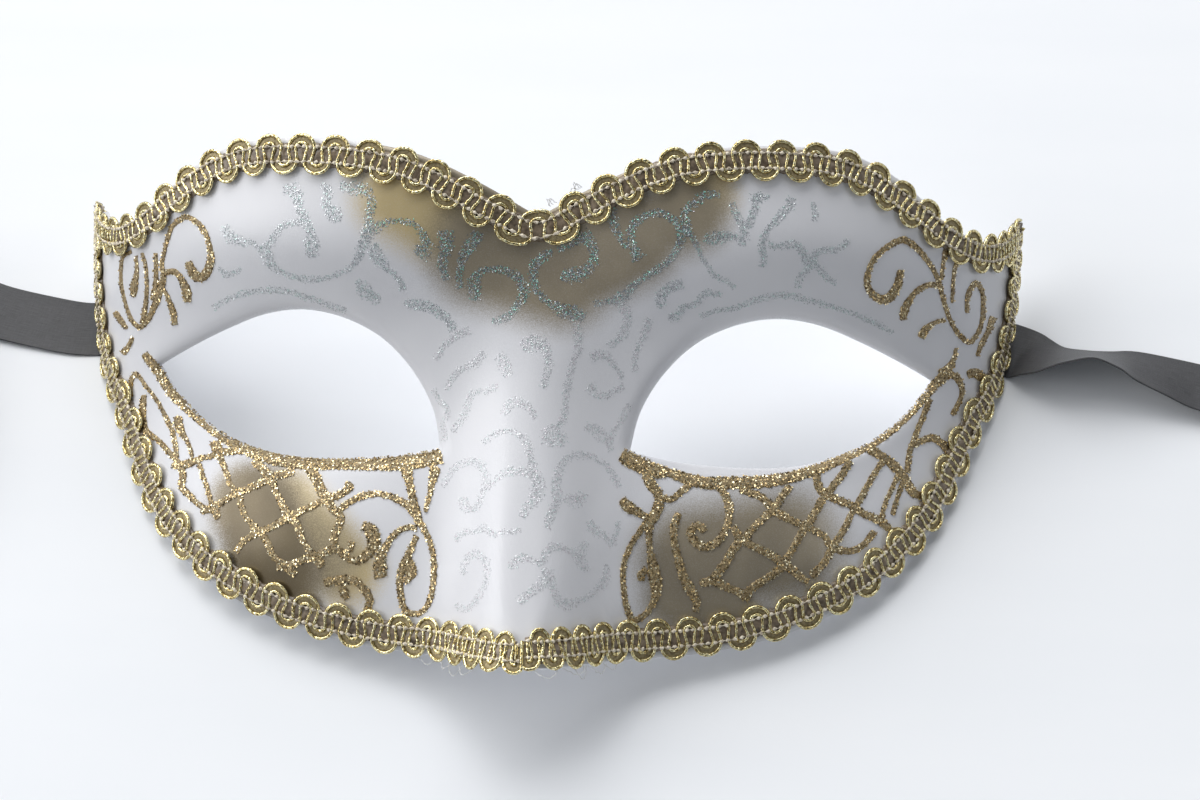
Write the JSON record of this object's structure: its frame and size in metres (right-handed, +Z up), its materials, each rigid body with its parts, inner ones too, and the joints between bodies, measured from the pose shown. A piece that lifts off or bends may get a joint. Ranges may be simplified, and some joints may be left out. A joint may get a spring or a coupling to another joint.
{
  "type": "masquerade half mask",
  "caption": "White moulded half mask with gold scroll braid round its rim, eye openings and a satin ribbon tie on each side, lying face up.",
  "frame": {"origin": "on the table, under the middle of the mask's box without its ties", "axes": "+X to the right of somebody who looks at the face, +Y from the nose's tip towards the brow, +Z up from the table"},
  "size_m": [0.3815, 0.098, 0.0525],
  "materials": {
    "painted_shell": "semi-matt white paint, with gold airbrushed patches and glitter scrolls",
    "gold_braid": "metallised thread over cotton cords",
    "satin_ribbon": "satin weave"
  },
  "bodies": {
    "root": {"mask_shell": "painted_shell", "gimp_braid": "gold_braid", "ribbon_left": "satin_ribbon", "ribbon_left_coil": "satin_ribbon", "ribbon_left_glued_end": "satin_ribbon", "ribbon_right": "satin_ribbon", "ribbon_right_coil": "satin_ribbon", "ribbon_right_glued_end": "satin_ribbon"}
  },
  "joints": []
}
